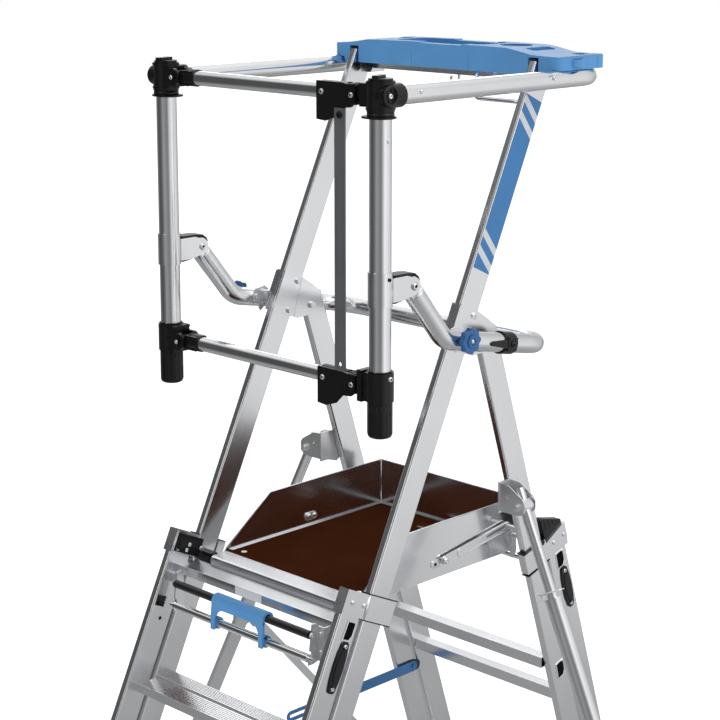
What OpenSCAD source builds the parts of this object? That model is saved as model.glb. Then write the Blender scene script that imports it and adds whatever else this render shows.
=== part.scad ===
// Platform step ladder with a guard cage: a front frame with treads, a hinged rear frame, a folding
// platform with toe boards, height-adjustable lower sections, a lifting gate, a tray and two stabilisers.
// Units are millimetres, +Z is up and the floor is z = 0. The user climbs from -Y towards +Y.

/* [Overall size] */
// height of the platform above the floor
deck_h = 1165; // [1100:5:1300]
// lean of the front frame from the vertical, degrees
front_lean = 25.2; // [20:0.1:30]
// lean of the rear frame from the vertical, degrees
rear_lean = 17.86; // [12:0.01:25]

/* [Stiles] */
// half distance between the inner faces of the stiles
stile_in = 235; // [200:1:300]
// thickness of a stile across the ladder
stile_w = 17; // [12:0.5:25]
// depth of an upper stile
stile_d = 55.4; // [40:0.1:70]
// depth of a lower stile
lower_d = 56.3; // [40:0.1:70]
// wall of the stile tubes
wall = 1.8; // [1:0.1:3]

/* [Treads and bars] */
// vertical distance from one tread to the next
pitch = 226; // [200:1:280]
// number of treads on the lower front section
treads = 5; // [3:1:6]
// top of the highest tread below the platform
tread_top = 13.8; // [8:0.1:30]
// height of the front edge of a tread
tread_h = 18.5; // [12:0.5:30]

/* [Platform] */
// half width over the toe boards
plat_w = 193.5; // [150:0.5:230]
// rear face of the rear toe board behind the post plane
plat_rear = 506.3; // [400:0.1:600]
// height of the toe boards
toe_h = 98.5; // [60:0.5:150]

/* [Guard cage] */
// half distance between the guard posts
post_x = 291.7; // [250:0.1:330]
// diameter of a guard post
post_dia = 40; // [30:0.5:50]
// height of the upper gate tube above the platform
gate_z = 964.3; // [850:0.1:1100]
// height of the lower gate tube above the platform
gate_low_z = 441.5; // [350:0.1:600]
// diameter of the gate tubes
gate_dia = 28; // [20:0.5:40]
// diameter of the top bow tube
bow_dia = 36; // [25:0.5:45]
// diameter of the knee bow tube
knee_dia = 38; // [25:0.5:45]

/* [Stabilisers] */
// spread angle of a stabiliser from the vertical, degrees
stab_a = 25.87; // [10:0.01:35]
// diameter of the stabiliser's upper tube
stab_in = 22; // [16:0.5:30]
// diameter of the stabiliser's lower tube
stab_out = 34; // [25:0.5:45]

/* [Hidden] */
$fn = 48;
eps = 0.01;
gap = 0.3;
fy = 2.3;
ry = 466.7;
cf = cos(front_lean);
sf = sin(front_lean);
cr = cos(rear_lean);
sr = sin(rear_lean);
out = stile_in + stile_w;
low_f = -64.3;
rear_o = 63.5;
rear_d = 57.3;
foot_t = 2;
// most forward and most rearward points, both at the feet, on the floor
front_y = fy + (low_f - foot_t - deck_h*sf)/cf;
rear_y = ry + (rear_o + rear_d + foot_t + deck_h*sr)/cr;
y0 = -(front_y + rear_y)/2;
// pivots, measured in the platform frame as [y, z]
piv = [333.2, 465.8];
plat_piv = [30, -10];
stay_piv = [281, 20.5];
stab_piv = [302, 398.4, 130];
// hinge of both gate tubes
gate_x = -246;
// top of the uprights along the front frame
up_top = 1100;

// ---------- frames: platform frame, front frame and rear frame ----------
module D() { translate([0, y0, deck_h]) children(); }
module F() { translate([0, y0 + fy, deck_h]) rotate([-front_lean, 0, 0]) children(); }
module R() { translate([0, y0 + ry, deck_h]) rotate([rear_lean, 0, 0]) children(); }
// stabiliser frame: the tube runs along -Z from the pivot; s is +1 right or -1 left
module S(s) {
  D() translate([s*stab_piv[0], stab_piv[1], stab_piv[2]])
    rotate([-1.95, 0, 0]) rotate([0, -s*stab_a, 0]) children();
}
module pair() {
  children();
  mirror([1, 0, 0]) children();
}
module side(s) { mirror([s < 0 ? 1 : 0, 0, 0]) children(); }

// ---------- shared shapes ----------
module rsq(w, d, r) {
  translate([r, 0]) square([w - 2*r, d]);
  translate([0, r]) square([w, d - 2*r]);
  for (x = [r, w - r]) for (y = [r, d - r]) translate([x, y]) circle(r);
}
// flat oval-edged box tube standing on z = 0
module box_tube(w, d, h, t = wall, r = 4) {
  linear_extrude(h) difference() {
    rsq(w, d, r);
    translate([t, t]) rsq(w - 2*t, d - 2*t, r - t/2);
  }
}
module box(x, y, z) {
  translate([x[0], y[0], z[0]]) cube([x[1] - x[0], y[1] - y[0], z[1] - z[0]]);
}
// cylinder along X from x0 to x1 at [y, z]
module xc(x0, x1, y, z, r) {
  translate([x0, y, z]) rotate([0, 90, 0]) cylinder(r = r, h = x1 - x0);
}
// cylinder along Y from y0 to y1 at [x, z]
module yc(a, b, x, z, r) {
  translate([x, a, z]) rotate([-90, 0, 0]) cylinder(r = r, h = b - a);
}
// cylinder along Z from z0 to z1 at [x, y]
module zc(x, y, a, b, r) {
  translate([x, y, a]) cylinder(r = r, h = b - a);
}
// plate of constant thickness along X, outline given as [y, z] points
module xplate(x0, x1, pts) {
  translate([x0, 0, 0]) rotate([90, 0, 90]) linear_extrude(x1 - x0) polygon(pts);
}
// hex-socket button head along X at [y, z], pointing towards +X from x
module button_x(x, y, z, r = 6, h = 3.5) {
  difference() {
    union() {
      xc(x, x + h*0.55, y, z, r);
      translate([x + h*0.55, y, z]) rotate([0, 90, 0]) cylinder(r1 = r, r2 = r*0.6, h = h*0.45);
    }
    translate([x + h*0.4, y, z]) rotate([0, 90, 0]) cylinder(r = r*0.38, h = h, $fn = 6);
  }
}
// round head along -Y at [x, z], standing on plane y
module button_y(y, x, z, r = 5, h = 3) {
  translate([x, y, z]) rotate([90, 0, 0]) difference() {
    union() {
      cylinder(r = r, h = h*0.55);
      translate([0, 0, h*0.55]) cylinder(r1 = r, r2 = r*0.6, h = h*0.45);
    }
    translate([0, 0, h*0.4]) cylinder(r = r*0.38, h = h, $fn = 6);
  }
}
module below(z) { translate([-1500, -2500, z - 4000]) cube([3000, 5000, 4000]); }
module above(z) { translate([-1500, -2500, z]) cube([3000, 5000, 4000]); }

// ---------- front frame ----------
module upright(s) {
  color([0.8, 0.81, 0.83]) side(s) F() difference() {
    translate([stile_in, 0, -1235]) box_tube(stile_w, stile_d, up_top + 1235);
    // a bore for each hinge bolt
    xc(stile_in - 1, out + 1, 42.6, 596.4, 4);
    xc(stile_in - 1, out + 1, 44, 532.7, 4);
  }
}
module uprights() { for (s = [-1, 1]) upright(s); }

module upright_plugs() {
  color([0.08, 0.08, 0.08]) pair() F() {
    translate([stile_in, 0, -1239]) linear_extrude(4 - eps) rsq(stile_w, stile_d, 4);
    translate([stile_in + wall + 0.1, wall + 0.1, -1236]) box_plug(stile_w, stile_d, 25);
    translate([stile_in, 0, up_top + eps]) linear_extrude(3) rsq(stile_w, stile_d, 4);
    translate([stile_in + wall + 0.1, wall + 0.1, up_top - 23]) box_plug(stile_w, stile_d, 24);
  }
}
module box_plug(w, d, h) {
  linear_extrude(h) rsq(w - 2*wall - 0.2, d - 2*wall - 0.2, 3.5);
}

// treads stand level: profile in [y, z], top face at z = 0, front edge at y = 0
module tread(depth, rear_lip, x) {
  difference() {
    xplate(-x, x, [[0.8, 0], [0, -0.8], [0, -tread_h], [2.2, -tread_h], [2.2, -3.4], [depth - 2.2, -3.4],
                   [depth - 2.2, -rear_lip], [depth, -rear_lip], [depth, -0.8], [depth - 0.8, 0]]);
    for (i = [1:7]) box([-x - 1, x + 1], [i*depth/8 - 1, i*depth/8 + 1], [-0.7, 1]);
  }
}
// y of the plane a given distance behind the front face of the front frame, at height z
function fplane(off, z) = fy + (off + z*sf)/cf;
function rplane(ro, z) = ry + (ro - z*sr)/cr;

module upper_treads() {
  color([0.78, 0.79, 0.8]) D() for (i = [1:4]) {
    z = -tread_top - i*pitch;
    translate([0, fplane(14.5, z), z]) tread(37, 10, stile_in);
  }
}

plate_pts = [[-1.5, 519], [-1.5, 607], [40, 609], [76.5, 605], [112, 598], [116, 566],
             [99.4, 538.7], [74, 524.7]];
module hinge_plates() {
  color([0.75, 0.76, 0.78]) pair() F() for (x = [stile_in - 3.3, out + gap]) difference() {
    xplate(x, x + 3, plate_pts);
    xc(x - 1, x + 4, 42.6, 596.4, 4);
    xc(x - 1, x + 4, 44, 532.7, 4);
    xc(x - 1, x + 4, 101, 562.4, 5);
    // fold line that stiffens the plate
    translate([x - 0.01, 62, 515]) rotate([8, 0, 0]) cube([0.6, 1.4, 100]);
  }
  color([0.75, 0.76, 0.78]) pair() F() {
    // thin channel on the front edge of the upright
    box([stile_in + 3, out + 4], [-4.5, -1.6], [552, 604]);
    box([out + 3.2, out + 4], [-4.5, 8], [552, 604]);
  }
}
module hinge_bolts() {
  color([0.6, 0.61, 0.63]) pair() F() {
    for (p = [[42.6, 596.4], [44, 532.7]]) {
      xc(stile_in - 7, out + 4, p[0], p[1], 3.9);
      button_x(out + 3.3, p[0], p[1], 6.5, 4);
      xc(stile_in - 8, stile_in - 3.3, p[0], p[1], 6);
    }
    xc(stile_in - 7, out + 4, 101, 562.4, 4.95);
    button_x(out + 3.3, 101, 562.4, 8.5, 4.5);
    xc(stile_in - 9, stile_in - 3.3, 101, 562.4, 7);
  }
}
// hooks that hold the knee bow on the uprights
module rail_hooks() {
  color([0.72, 0.73, 0.75]) D() pair() {
    difference() {
      xplate(271, 273.5, [[203, 500], [212, 512], [236, 516], [246, 508], [240, 492], [232, 470], [224, 464],
                        [220, 470], [224, 484], [214, 486], [204, 488]]);
      xc(270, 280, 213.8, 495, 3);
    }
    xc(out + 4.4, 271.5, 236, 502, 5);
    xc(268, 271, 213.8, 495, 6);
    xc(268, 273.4, 213.8, 495, 2.95);
    xc(268.6, 271.2, 232, 478, 4.5);
    // strap from the hook back to the upright
    box([out + 4.4, 271.2], [229, 243], [499, 503]);
    box([out + 4.4, out + 6.9], [229, 258], [486, 507]);
  }
}
module platform_bearings() {
  color([0.07, 0.07, 0.07]) D() pair() difference() {
    union() {
      xplate(208, stile_in - eps, [[22, -2], [38, -2], [42, -8], [38, -24], [26, -27], [18, -22], [18, -8]]);
      xc(204, 209, 30, -10, 9);
    }
    xc(200, stile_in - 8, 30, -10, 6.05);
  }
}

// ---------- guard posts, bows and fittings ----------
module post(s) {
  color([0.85, 0.86, 0.88]) side(s) D() difference() {
    zc(post_x, 0, 352, 980, post_dia/2);
    zc(post_x, 0, 351, 981, post_dia/2 - 1.8);
  }
}
module guard_posts() { for (s = [-1, 1]) post(s); }

module bottom_fittings() {
  color([0.06, 0.06, 0.065]) pair() D() {
    // rounded cup under the post
    difference() {
      translate([post_x, 0, 0]) rotate_extrude($fn = 64) polygon([[0, 348.8], [17, 348.8], [20.5, 350.5],
        [22.4, 354], [22.4, 472.5], [post_dia/2 + 0.05, 472.5], [post_dia/2 + 0.05, 351.9], [0, 351.9]]);
      xc(post_x + 21.8, post_x + 30, 0, 395, 3);
    }
    // clamp half towards the gate, with ribs
    difference() {
      union() {
        zc(post_x, 0, 416, 470, 25.2);
        box([post_x - 32, post_x], [-21, 21], [416, 469]);
        for (z = [420, 443, 466]) box([post_x - 33, post_x], [-22.2, 22.2], [z - 1.5, z + 1.5]);
      }
      zc(post_x, 0, 400, 480, 22.3);
    }
    button_x(post_x + 25.5, 0, 460, 4.5, 3);
  }
  color([0.06, 0.06, 0.065]) D() {
    // left fitting: fork that carries the lower gate tube
    difference() {
      union() {
        gate_fork(gate_low_z);
      }
      yc(-30, 30, gate_x, gate_low_z, 4);
    }
    // right fitting: open cradle that the gate end drops into
    difference() {
      box([post_x - 36, post_x - 24], [-23, 19], [414, 472]);
      xc(post_x - 40, post_x - 30, 0, 441.5, 15);
    }
  }
}
// fork with rounded ends that a gate tube hinges in
module gate_fork(z) {
  for (y = [-22, 15.3]) {
    box([-post_x + 22, gate_x], [y, y + 6.7], [z - 16.5, z + 16.5]);
    yc(y, y + 6.7, gate_x, z, 17);
  }
  box([-post_x + 22, -post_x + 31], [-22, 22], [z - 16.5, z + 16.5]);
}
module top_fitting_common() {
  difference() {
    union() {
      zc(post_x, 0, 936, 990, 25);
      zc(post_x, 0, 989, 994, 22);
      box([post_x - 33, post_x], [-20, 20], [944, 985]);
      // socket for the end of the top bow
      yc(0, 46, post_x, 962, bow_dia/2 + 4);
      xc(post_x, post_x + 26, -3.6, 964.4, 20);
      for (z = [941, 987]) zc(post_x, 0, z - 1.5, z + 1.5, 26.5);
    }
    zc(post_x, 0, 930, 980.05, post_dia/2 + 0.05);
    yc(21.9, 60, post_x, 962, bow_dia/2 + 0.05);
  }
  button_x(post_x + 24.5, -3.6, 964.4, 8, 4);
}
module top_fittings() {
  color([0.06, 0.06, 0.065]) D() {
    top_fitting_common();
    difference() {
      xc(post_x + 25.5, post_x + 28, -3.6, 964.4, 17);
      xc(post_x + 20, post_x + 30, -3.6, 964.4, 13);
    }
    // latch lever on top
    translate([post_x - 6, -16, 992]) rotate([0, 0, 20]) cube([12, 34, 7]);
    box([post_x - 34.5, post_x - 22], [-19, 12], [950, 983]);
  }
  color([0.06, 0.06, 0.065]) D() {
    mirror([1, 0, 0]) top_fitting_common();
    // fork that carries the upper gate tube
    difference() {
      union() {
        gate_fork(gate_z);
      }
      yc(-30, 30, gate_x, gate_z, 4);
    }
    // latch lever on top
    translate([-post_x - 10, -17, 992]) rotate([0, 0, 12]) cube([14, 35, 7]);
  }
}
module post_sleeves() {
  color([0.82, 0.83, 0.85]) pair() D() difference() {
    union() {
      zc(post_x, 0, 590, 652, 22.6);
      // ears to the rear for the knee bow
      for (x = [-17, 13.5]) translate([post_x + x, 0, 0]) xear();
    }
    zc(post_x, 0, 580, 660, post_dia/2 + 0.02);
    xc(post_x - 40, post_x + 40, 71.3, 618.1, 5);
  }
}
module xear() {
  xplate(0, 3.5, [[16, 596], [40, 596], [72, 602], [72, 634], [52, 640], [16, 640]]);
  xc(0, 3.5, 71.3, 618.1, 16);
}
// moulded insert between the ears; its rim stands a little proud of them
module sleeve_inserts() {
  color([0.06, 0.06, 0.065]) pair() D() {
    difference() {
      xplate(post_x - 13.4, post_x + 13.4, [[22.7, 592], [40, 594], [50, 596], [50, 602], [74, 602], [90, 610], [91, 624],
                                          [86, 634], [76, 641.5], [58, 643.5], [22.7, 644]]);
      xc(post_x - 30, post_x + 30, 71.3, 618.1, 20);
      // room for the inclined tube
      translate([post_x, 71.3, 618.1]) rotate([-50.5, 0, 0]) translate([-40, 0, -19.5]) cube([80, 140, 39]);
    }
    xc(post_x - 19.5, post_x + 19.5, 71.3, 618.1, 4.95);
    button_x(post_x + 17.1, 71.3, 618.1, 7.5, 4);
    button_x(post_x + 22.9, 0, 640, 3.5, 2.5);
  }
}

// bent tube through a list of points, tube radius r, bend radius b
function unit(v) = v/norm(v);
function half_a(p, a, c) = acos(unit(a - p)*unit(c - p))/2;
module rod(p, q, r) {
  d = q - p;
  translate(p) rotate([0, acos(d[2]/norm(d)), atan2(d[1], d[0])]) cylinder(r = r, h = norm(d));
}
module elbow(p, a, c, b, r) {
  h = half_a(p, a, c);
  u = unit(a - p);
  v = unit(c - p);
  o = p + unit(u + v)*b/sin(h);
  e1 = unit(p + u*b/tan(h) - o);
  e2 = unit(p + v*b/tan(h) - o);
  n = unit(cross(e1, e2));
  w = cross(n, e1);
  // the same turn as three plain rotations
  ty = asin(-e1[2]);
  tz = atan2(e1[1], e1[0]);
  tx = atan2(w[2], n[2]);
  translate(o) rotate([tx, ty, tz]) rotate_extrude(angle = 180 - 2*h) translate([b, 0]) circle(r);
}
module pipe(pts, b, r) {
  n = len(pts);
  t = [for (i = [0:n - 1]) i == 0 || i == n - 1 ? 0 : b[i]/tan(half_a(pts[i], pts[i - 1], pts[i + 1]))];
  for (i = [0:n - 2]) {
    d = unit(pts[i + 1] - pts[i]);
    a = pts[i] + d*t[i];
    c = pts[i + 1] - d*t[i + 1];
    rod(a, c, r);
    // thin beads over the joints between straight runs and bends
    if (i > 0) rod(a - d, a + d, r + 0.06);
    if (i < n - 2) rod(c - d, c + d, r + 0.06);
  }
  for (i = [1:n - 2]) elbow(pts[i], pts[i - 1], pts[i + 1], b[i], r);
}
function flip(p) = [-p[0], p[1], p[2]];
bow_pts = [[-post_x, 22, 962], [-post_x, 622, 962], [post_x, 622, 962], [post_x, 22, 962]];
module top_bow() {
  color([0.84, 0.85, 0.87]) D() difference() {
    pipe(bow_pts, [0, 62, 62, 0], bow_dia/2);
    pipe(bow_pts, [0, 62, 62, 0], bow_dia/2 - 1.8);
  }
}
// knee bow: drops from the post ears, bends, and runs back on a gentle fall to the rear tube
kx = 293.5;
k_a = [kx, 71.3, 618.1];
k_b = [kx, 168, 500.6];
k_c = [kx, 482, 440.9];
k_in = k_a + 45*unit(k_b - k_a);
module knee_bow() {
  bends = [0, 60, 80, 80, 60, 0];
  color([0.84, 0.85, 0.87]) D() difference() {
    union() {
      difference() {
        pipe([flip(k_a), flip(k_b), flip(k_c), k_c, k_b, k_a], bends, knee_dia/2);
        // flat cheeks at the pivot end
        pair() for (x = [post_x - 53.2, post_x + 13.2]) box([x, x + 40], [30, 98], [585, 660]);
      }
      pair() xc(post_x - 13, post_x + 13, 71.3, 618.1, 17.5);
    }
    xc(-340, 340, 71.3, 618.1, 5);
    pipe([flip(k_in), flip(k_b), flip(k_c), k_c, k_b, k_in], bends, knee_dia/2 - 2.5);
    // drain hole
    zc(0, k_c[1], k_c[2] - 30, k_c[2], 2.5);
  }
}
module rail_saddles() {
  color([0.07, 0.07, 0.07]) D() pair() {
    translate([kx, 339.8, 467.9]) rotate([-10.77, 0, 0]) {
      difference() {
        union() {
          yc(-16, 16, 0, 0, knee_dia/2 + 3);
          box([0, 23], [-13, 13], [-13, 13]);
          xplate(18, 22, [[-12, -9], [-60, -5], [-62, 0], [-58, 4], [-12, 9]]);
        }
        yc(-90, 90, 0, 0, knee_dia/2 + 0.02);
      }
      button_x(22.5, 0, 0, 6, 3.5);
    }
  }
}
// front view of the tray as [x, z]: thick in the middle, arched over the top bow at both ends
tray_front = [[-307, 978], [-274, 978], [-268, 967], [268, 967], [274, 978], [305, 978], [305, 1001],
              [300, 1004.5], [240, 1006], [192, 1014.5], [170, 1017], [60, 1018], [56, 1015.5], [-56, 1015.5],
              [-60, 1018], [-205, 1016], [-255, 1008], [-300, 1005], [-307, 1001]];
module tray() {
  color([0.26, 0.53, 0.79]) D() difference() {
    intersection() {
      translate([0, 620, 0]) rotate([90, 0, 0]) linear_extrude(160) polygon(tray_front);
      linear_extrude_at(940, 100) tray_outline();
    }
    // grooves that sit on the top bow
    pipe(bow_pts, [0, 62, 62, 0], bow_dia/2 + 0.4);
    // pockets that take the tops of the uprights
    pair() box([231, 256], [440, 541], [950, 1001.5]);
    // tool tray, cup hole, slots and hand recess in the top
    linear_extrude_at(1001, 30) translate([-150, 497]) rsq(240, 88, 16);
    translate([139, 547, 986]) cylinder(r = 33, h = 40);
    linear_extrude_at(997, 30) translate([188, 512]) rsq(24, 72, 8);
    linear_extrude_at(997, 30) translate([-222, 552]) rsq(52, 32, 10);
    linear_extrude_at(1001, 30) translate([262, 560]) rsq(26, 34, 8);
    // hollow underside
    linear_extrude_at(960, 20) translate([-185, 486]) rsq(370, 110, 12);
    // shallow creases down the front face
    for (x = [-78, 76]) translate([x, 473, 960]) rotate([0, 0, 45]) cube([1.6, 1.6, 80], center = true);
  }
  // ring for a tool on the right end and a lug behind it
  color([0.26, 0.53, 0.79]) D() {
    translate([301, 532, 984]) difference() {
      cylinder(r = 17, h = 14);
      translate([0, 0, -1]) cylinder(r = 13, h = 20);
      translate([-30, -30, -1]) cube([33.5, 60, 20]);
    }
  }
}
module linear_extrude_at(z, h) { translate([0, 0, z]) linear_extrude(h) children(); }
module tray_outline() {
  translate([-307, 473]) rsq(612, 134, 20);
  translate([276, 594]) rsq(29, 22, 6);
}
module tray_bar() {
  tool_hook();
  color([0.7, 0.71, 0.73]) D() {
    difference() {
      box([-224, 224], [495, 521], [955, 966.9]);
      box([-222, 222], [497, 519], [953, 964.5]);
      for (s = [-1, 1]) box([s*243.5 - 13, s*243.5 + 13], [440, 541], [950, 1040]);
    }
    for (s = [-1, 1]) box([s*225 - 5, s*225 + 5], [500, 541], [945, 966.8]);
  }
}
module tool_hook() {
  color([0.7, 0.71, 0.73]) D() {
    zc(-60, 600, 930, 967, 3);
    translate([-60, 588, 930]) rotate([0, 90, 0]) rotate([0, 0, -90]) rotate_extrude(angle = 180)
      translate([12, 0]) circle(3);
    zc(-60, 576, 930, 942, 3);
  }
}

// ---------- lower front section ----------
module lower_front(s) {
  color([0.8, 0.81, 0.83]) side(s) difference() {
    F() difference() {
      translate([stile_in, low_f, -1330]) box_tube(stile_w, lower_d, 1343);
      // five-sided lightening hole and the screw holes of the end cover
      translate([out - 5, -28, -38]) rotate([0, 90, 0]) rotate([0, 0, 180]) cylinder(r = 9, h = 10, $fn = 5);
      for (z = [-70, -145]) xc(out - 5, out + 5, -28.8, z, 3);
      box([stile_in - 1, stile_in + 6], [-60, -35], [-122, -100]);
      xc(stile_in - 1, stile_in + 6, -35, -145, 4);
    }
    below(25);
  }
}
module front_stiles() { for (s = [-1, 1]) lower_front(s); }

module front_treads() {
  color([0.78, 0.79, 0.8]) D() for (i = [0:treads - 1]) {
    z = -tread_top - i*pitch;
    translate([0, fplane(-35, z), z]) tread(46, 9, stile_in);
  }
}
// guide: a sleeve on the lower stile with a collar that runs on the upright
module front_guides() {
  color([0.72, 0.73, 0.75]) pair() F() {
    difference() {
      box([231.6, 255.2], [-66.5, 73.5], [-11, 36]);
      // the lower stile, the upright and the open inner side
      box([stile_in - eps, out + eps], [low_f - eps, low_f + lower_d + eps], [-20, 50]);
      box([stile_in - 1.2, out + 1.2], [-1.2, stile_d + 1.2], [-20, 50]);
      box([230, stile_in + 2], [-1.3, 54], [-20, 50]);
      box([230, stile_in + 0.5], [-60, 0], [-20, 50]);
      for (y = [-45, -11.8]) xc(240, 260, y, 13.7, 2.5);
    }
    for (y = [-45, -11.8]) {
      xc(out + eps, 254, y, 13.7, 2.4);
      button_x(255.2, y, 13.7, 4.5, 2.5);
    }
    // pressed rim round the collar
    for (z = [-11, 34]) difference() {
      box([250, 256.4], [-8, 74.7], [z, z + 2]);
      box([249, out + 1.2], [-1.2, stile_d + 1.2], [z - 1, z + 3]);
      box([249, 255.2], [-9, 73.5], [z - 1, z + 3]);
    }
  }
}
// black runners at the mouths of the collar and the inner plate
module front_liners() {
  color([0.06, 0.06, 0.065]) pair() F() {
    for (z = [-13.2, 36.2]) difference() {
      box([stile_in - 1.2, 256.4], [-8, 74.7], [z, z + 2]);
      box([stile_in - 2, out + 0.5], [-0.5, stile_d + 0.5], [z - 1, z + 3]);
      box([230, stile_in + 2], [-0.6, 54], [z - 1, z + 3]);
      box([stile_in - eps, out + eps], [-9, low_f + lower_d + 0.1], [z - 1, z + 3]);
    }
    difference() {
      union() {
        box([231.8, stile_in - eps], [-56, 11.5], [-8, 30]);
        box([230.6, 232], [-50, 6], [-2, 24]);
      }
      box([228, 240], [-52, -39], [-6.5, -3]);
    }
    for (p = [[-24, 12.1], [9, 11.4], [-27, 0]]) xc(229.4, 231.9, p[0], p[1], 3.2);
  }
}
// lens-shaped end covers screwed to the lower stiles
module front_covers() {
  color([0.05, 0.05, 0.055]) pair() F() translate([out + eps, -28.8, -107.5]) {
    rotate([90, 0, 90]) linear_extrude(2.4) lens(13, 99);
    rotate([90, 0, 90]) translate([0, 0, 2.4]) linear_extrude(1.6) lens(9.5, 88);
    for (z = [-37.5, 37.5]) {
      xc(-4, 0.5, 0, z, 2.9);
      button_x(3.9, 0, z, 4, 2);
    }
  }
}
// upright lens: half width w and length l
module lens(w, l) {
  r = (w*w + l*l/4)/(2*w);
  intersection() {
    translate([r - w, 0]) circle(r, $fn = 96);
    translate([w - r, 0]) circle(r, $fn = 96);
  }
}
module foot_shape(f, d) {
  intersection() {
    box([stile_in - foot_t, out + foot_t], [f - foot_t, f + d + foot_t], [-1400, -1000]);
    children();
  }
}
module front_feet() {
  color([0.05, 0.05, 0.055]) pair() difference() {
    F() box([stile_in - foot_t, out + foot_t], [low_f - foot_t, low_f + lower_d + foot_t], [-1400, -1150]);
    below(0);
    above(58);
    difference() {
      F() box([stile_in - 0.1, out + 0.1], [low_f - 0.1, low_f + lower_d + 0.1], [-1500, -1000]);
      below(24.9);
    }
    for (z = [6:12:50]) F() box([out + 1.2, out + 5], [low_f - 9, low_f + lower_d + 9], [-1290 + z, -1287 + z]);
  }
}
// black rod under the platform edge, with an end bracket on each side
module front_grip_rod() {
  color([0.06, 0.06, 0.065]) D() xc(-192.8, 192.8, -82.1, -34.8, 8);
}
module front_grip_brackets() {
  color([0.66, 0.67, 0.69]) D() pair() {
    difference() {
      union() {
        // flange that carries the rods
        xplate(193, 196, [[-79, -14], [-70, -14], [-62, -20], [-62, -88], [-76, -92], [-89, -92]]);
        // web that turns out to the stile
        box([193, 214], [-66, -63], [-88, -20]);
        xplate(211, 214, [[-63.1, -20], [-50, -20], [-50, -60], [-63.1, -88]]);
        // lug that reaches the stile
        xplate(213.9, stile_in - eps, [[-58, -30], [-54, -30], [-54, -48], [-58, -48]]);
      }
      // slot for the end of the release rod
      for (i = [0, 1]) xc(190, 200, -85.9 + i*0.85, -79.5 + i*9.97, 4.3);
      translate([190, -85.9, -79.5]) rotate([-4.85, 0, 0]) translate([0, -4.3, 0]) cube([10, 8.6, 10]);
      xc(180, 192.9, -82.1, -34.8, 8.2);
    }
    button_y(-66, 204, -34, 4.5, 3);
    button_y(-66, 204, -70, 4.5, 3);
    button_x(196, -82.1, -34.8, 6, 3);
  }
}
// chrome release rod with its blue handle; squeezing it towards the black rod frees the catches
module front_release_rod() {
  color([0.86, 0.87, 0.88]) D() {
    xc(-192.5, 192.5, -85.9, -79.5, 7.9);
    pair() xc(192.5, 205, -85.9, -79.5, 4);
  }
}
module front_handle() {
  color([0.29, 0.55, 0.8]) D() {
    difference() {
      union() {
        translate([-70, -84, -40]) rotate([0, 90, 0]) linear_extrude(146) handle_section();
        for (x = [-71, 67]) {
          box([x - 3, x + 15], [-99, -72], [-84, -50]);
          xc(x - 3, x + 15, -85.9, -79.5, 12.5);
        }
      }
      // room for the black rod to pass as the handle moves, and the grip gap
      box([-80, 90], [-91.2, -60], [-80, -26]);
      xc(-90, 100, -85.9, -79.5, 7.95);
      box([-90, 100], [-88, -84], [-110, -86]);
      box([-56, 64], [-120, -60], [-100, -58]);
    }
  }
}
// closed outline of the handle's cover, x runs down and y runs back
module handle_section() {
  difference() {
    translate([-18, -17]) rsq(52, 30, 9);
    translate([-13, -12]) rsq(60, 40, 6);
  }
}

// ---------- rear frame ----------
module rear_stile(s) {
  color([0.8, 0.81, 0.83]) side(s) R() difference() {
    translate([stile_in + gap, 0, -1180]) box_tube(stile_w - 2*gap, 55, 1680);
    xc(stile_in - 1, out + 1, 15.761, 484.379, 5);
    translate([out - 5, 30, -309]) rotate([0, 90, 0]) rotate([0, 0, 180]) cylinder(r = 9, h = 10, $fn = 5);
    for (z = [159, 126]) xc(out - 5, out + 5, 16, z, 3);
  }
}
module rear_stiles() { for (s = [-1, 1]) rear_stile(s); }
module rear_plugs() {
  color([0.07, 0.07, 0.07]) pair() R() {
    difference() {
      xplate(stile_in + gap, out - gap, [[0.5, 500 + eps], [0.5, 529], [4, 532], [26.6, 532.5], [48, 503],
                                         [54.5, 500 + eps]]);
      xc(stile_in - 1, out + 1, 15.761, 484.379, 5.2);
    }
    translate([stile_in + gap + wall + 0.1, wall + 0.1, -1183]) linear_extrude(25)
      rsq(stile_w - 2*gap - 2*wall - 0.2, 55 - 2*wall - 0.2, 3.5);
    translate([stile_in + gap, 0, -1183]) linear_extrude(3 - eps) rsq(stile_w - 2*gap, 55, 4);
  }
}
module rear_crossbars() {
  color([0.78, 0.79, 0.8]) D() for (z = [-252.5, -930]) {
    y = rplane(-3, z) + 0.1;
    difference() {
      box([-stile_in - gap + eps, stile_in + gap - eps], [y, y + 30], [z - 22.5, z]);
      box([-stile_in - 2, stile_in + 2], [y + 2, y + 28], [z - 20.5, z - 2]);
    }
  }
}
// U-shaped sheet brackets that carry the stabilisers
module stabiliser_brackets() {
  color([0.72, 0.73, 0.75]) pair() D() {
    difference() {
      union() {
        box([out + 0.1, out + 2.6], [378, 426], [108, 172]);
        for (y = [380, 414.4]) bracket_ear(y);
        xplate(out + 0.1, out + 2.6, [[400, 108], [426, 172], [446, 160], [446, 112], [426, 100]]);
      }
      yc(360, 440, stab_piv[0], stab_piv[2], 5);
    }
    yc(376, 380, stab_piv[0], stab_piv[2], 7.5);
    button_y(376.1, stab_piv[0], stab_piv[2], 7, 4);
    yc(416.5, 423, stab_piv[0], stab_piv[2], 7);
  }
  color([0.72, 0.73, 0.75]) pair() S(1) rotate([90, 0, 0]) cylinder(r = 4.95, h = 38, center = true);
  color([0.5, 0.5, 0.5]) pair() R() for (z = [159, 126]) {
    xc(out - gap - wall - 3, out, 16, z, 2.9);
    button_x(out + 2.6, 16, z, 5.5, 3);
  }
}
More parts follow.
